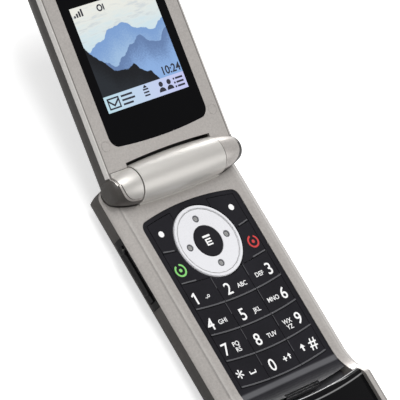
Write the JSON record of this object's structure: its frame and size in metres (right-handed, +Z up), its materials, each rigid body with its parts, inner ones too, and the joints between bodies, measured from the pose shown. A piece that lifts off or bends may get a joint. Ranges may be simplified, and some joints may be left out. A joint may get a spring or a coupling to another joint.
{
  "type": "flip phone",
  "caption": "Clamshell mobile telephone: a silver keypad half with a black keypad and a raised chin, a folding display half with a black window, and a barrel hinge between them.",
  "frame": {"origin": "on the flat back of the keypad half, at the middle of its length and width", "axes": "+X to the right of a user who holds it open, +Y along the keypad half towards the hinge, +Z up out of the keypad"},
  "size_m": [0.0468, 0.1539, 0.0272],
  "materials": {
    "silver_paint": "fine-grained warm silver paint, satin",
    "satin_silver": "smooth satin silver",
    "dark_plastic": "dark warm grey moulded plastic, soft sheen",
    "gloss_black": "polished black",
    "keypad_plastic": "near-black keypad, satin",
    "ring_plastic": "pale pearl silver, glossy",
    "grey_rubber": "grey silicone",
    "dome_film": "thin film over metal domes",
    "board_green": "solder mask over glass fibre",
    "plated_steel": "plated steel",
    "gold_contacts": "gold-plated",
    "battery_wrap": "plain dark wrap",
    "acetal": "black acetal",
    "flex_film": "amber polyimide",
    "antenna_plastic": "unpainted plastic with a plated pattern",
    "speaker_grey": "dark plastic basket",
    "display_panel": "colour display"
  },
  "bodies": {
    "base": {"front_frame": "silver_paint", "rear_shell": "dark_plastic", "chin_cover": "gloss_black", "mic_bar": "gloss_black", "keypad_bezel": "keypad_plastic", "key_web": "grey_rubber", "dome_sheet": "dome_film", "main_board": "board_green", "shield_can": "plated_steel", "sim_holder": "plated_steel", "battery": "battery_wrap", "battery_connector": "gold_contacts", "side_trim": "gloss_black", "usb_port": "plated_steel", "headset_jack": "gloss_black", "antenna": "antenna_plastic", "loudspeaker": "speaker_grey", "vibration_motor": "plated_steel", "microphone": "gold_contacts", "hinge_barrel": "satin_silver", "hinge_can": "plated_steel", "hinge_spring": "plated_steel", "base_screws": "plated_steel", "hinge_flex": "flex_film"},
    "lid": {"lid_front_shell": "silver_paint", "lid_rear_shell": "dark_plastic", "display_lens": "gloss_black", "main_display": "display_panel", "lid_board": "board_green", "earpiece": "speaker_grey", "outer_lens": "gloss_black", "outer_display": "display_panel", "screw_covers": "silver_paint", "lid_screws": "plated_steel", "hinge_cap": "satin_silver", "hinge_shaft": "plated_steel", "hinge_bush": "acetal"},
    "battery_cover": {"battery_cover": "dark_plastic"},
    "volume_rocker": {"volume_rocker": "gloss_black"},
    "nav_plate": {"nav_actuator": "grey_rubber"},
    "nav_ring": {"nav_ring": "ring_plastic"},
    "key_1": {"key_1": "keypad_plastic"},
    "key_2": {"key_2": "keypad_plastic"},
    "key_3": {"key_3": "keypad_plastic"},
    "key_4": {"key_4": "keypad_plastic"},
    "key_5": {"key_5": "keypad_plastic"},
    "key_6": {"key_6": "keypad_plastic"},
    "key_7": {"key_7": "keypad_plastic"},
    "key_8": {"key_8": "keypad_plastic"},
    "key_9": {"key_9": "keypad_plastic"},
    "key_star": {"key_star": "keypad_plastic"},
    "key_0": {"key_0": "keypad_plastic"},
    "key_hash": {"key_hash": "keypad_plastic"},
    "soft_key_left": {"soft_key_left": "keypad_plastic"},
    "soft_key_right": {"soft_key_right": "keypad_plastic"},
    "call_key": {"call_key": "keypad_plastic"},
    "end_key": {"end_key": "keypad_plastic"},
    "select_key": {"select_key": "keypad_plastic"}
  },
  "joints": [
    {"name": "lid_hinge", "type": "hinge", "parent": "base", "child": "lid", "pos_m": [0, 0.044, 0.0109], "axis": [1, 0, 0], "range_deg": [0, 165.5]},
    {"name": "cover_slide", "type": "slide", "parent": "base", "child": "battery_cover", "axis": [0, -1, 0], "range_m": [0, 0.012]},
    {"name": "volume_rock", "type": "hinge", "parent": "base", "child": "volume_rocker", "pos_m": [-0.0225, 0.02338, 0.00543], "axis": [0, 0, 1], "range_deg": [-2, 2], "stiffness_Nm_per_rad": 0.08},
    {"name": "nav_rock_x", "type": "hinge", "parent": "base", "child": "nav_plate", "pos_m": [0, 0.02393, 0.0071], "axis": [1, 0, 0], "range_deg": [-1, 1], "stiffness_Nm_per_rad": 0.1},
    {"name": "nav_rock_y", "type": "hinge", "parent": "nav_plate", "child": "nav_ring", "pos_m": [0, 0.02393, 0.0071], "axis": [0, 1, 0], "range_deg": [-1, 1], "stiffness_Nm_per_rad": 0.1},
    {"name": "key_1_press", "type": "slide", "parent": "base", "child": "key_1", "axis": [0, 0, -1], "range_m": [0, 0.0003], "stiffness_N_per_m": 1000},
    {"name": "key_2_press", "type": "slide", "parent": "base", "child": "key_2", "axis": [0, 0, -1], "range_m": [0, 0.0003], "stiffness_N_per_m": 1000},
    {"name": "key_3_press", "type": "slide", "parent": "base", "child": "key_3", "axis": [0, 0, -1], "range_m": [0, 0.0003], "stiffness_N_per_m": 1000},
    {"name": "key_4_press", "type": "slide", "parent": "base", "child": "key_4", "axis": [0, 0, -1], "range_m": [0, 0.0003], "stiffness_N_per_m": 1000},
    {"name": "key_5_press", "type": "slide", "parent": "base", "child": "key_5", "axis": [0, 0, -1], "range_m": [0, 0.0003], "stiffness_N_per_m": 1000},
    {"name": "key_6_press", "type": "slide", "parent": "base", "child": "key_6", "axis": [0, 0, -1], "range_m": [0, 0.0003], "stiffness_N_per_m": 1000},
    {"name": "key_7_press", "type": "slide", "parent": "base", "child": "key_7", "axis": [0, 0, -1], "range_m": [0, 0.0003], "stiffness_N_per_m": 1000},
    {"name": "key_8_press", "type": "slide", "parent": "base", "child": "key_8", "axis": [0, 0, -1], "range_m": [0, 0.0003], "stiffness_N_per_m": 1000},
    {"name": "key_9_press", "type": "slide", "parent": "base", "child": "key_9", "axis": [0, 0, -1], "range_m": [0, 0.0003], "stiffness_N_per_m": 1000},
    {"name": "key_star_press", "type": "slide", "parent": "base", "child": "key_star", "axis": [0, 0, -1], "range_m": [0, 0.0003], "stiffness_N_per_m": 1000},
    {"name": "key_0_press", "type": "slide", "parent": "base", "child": "key_0", "axis": [0, 0, -1], "range_m": [0, 0.0003], "stiffness_N_per_m": 1000},
    {"name": "key_hash_press", "type": "slide", "parent": "base", "child": "key_hash", "axis": [0, 0, -1], "range_m": [0, 0.0003], "stiffness_N_per_m": 1000},
    {"name": "soft_key_left_press", "type": "slide", "parent": "base", "child": "soft_key_left", "axis": [0, 0, -1], "range_m": [0, 0.0003], "stiffness_N_per_m": 1000},
    {"name": "soft_key_right_press", "type": "slide", "parent": "base", "child": "soft_key_right", "axis": [0, 0, -1], "range_m": [0, 0.0003], "stiffness_N_per_m": 1000},
    {"name": "call_key_press", "type": "slide", "parent": "base", "child": "call_key", "axis": [0, 0, -1], "range_m": [0, 0.0003], "stiffness_N_per_m": 1000},
    {"name": "end_key_press", "type": "slide", "parent": "base", "child": "end_key", "axis": [0, 0, -1], "range_m": [0, 0.0003], "stiffness_N_per_m": 1000},
    {"name": "select_key_press", "type": "slide", "parent": "base", "child": "select_key", "axis": [0, 0, -1], "range_m": [0, 0.0003], "stiffness_N_per_m": 1000}
  ]
}
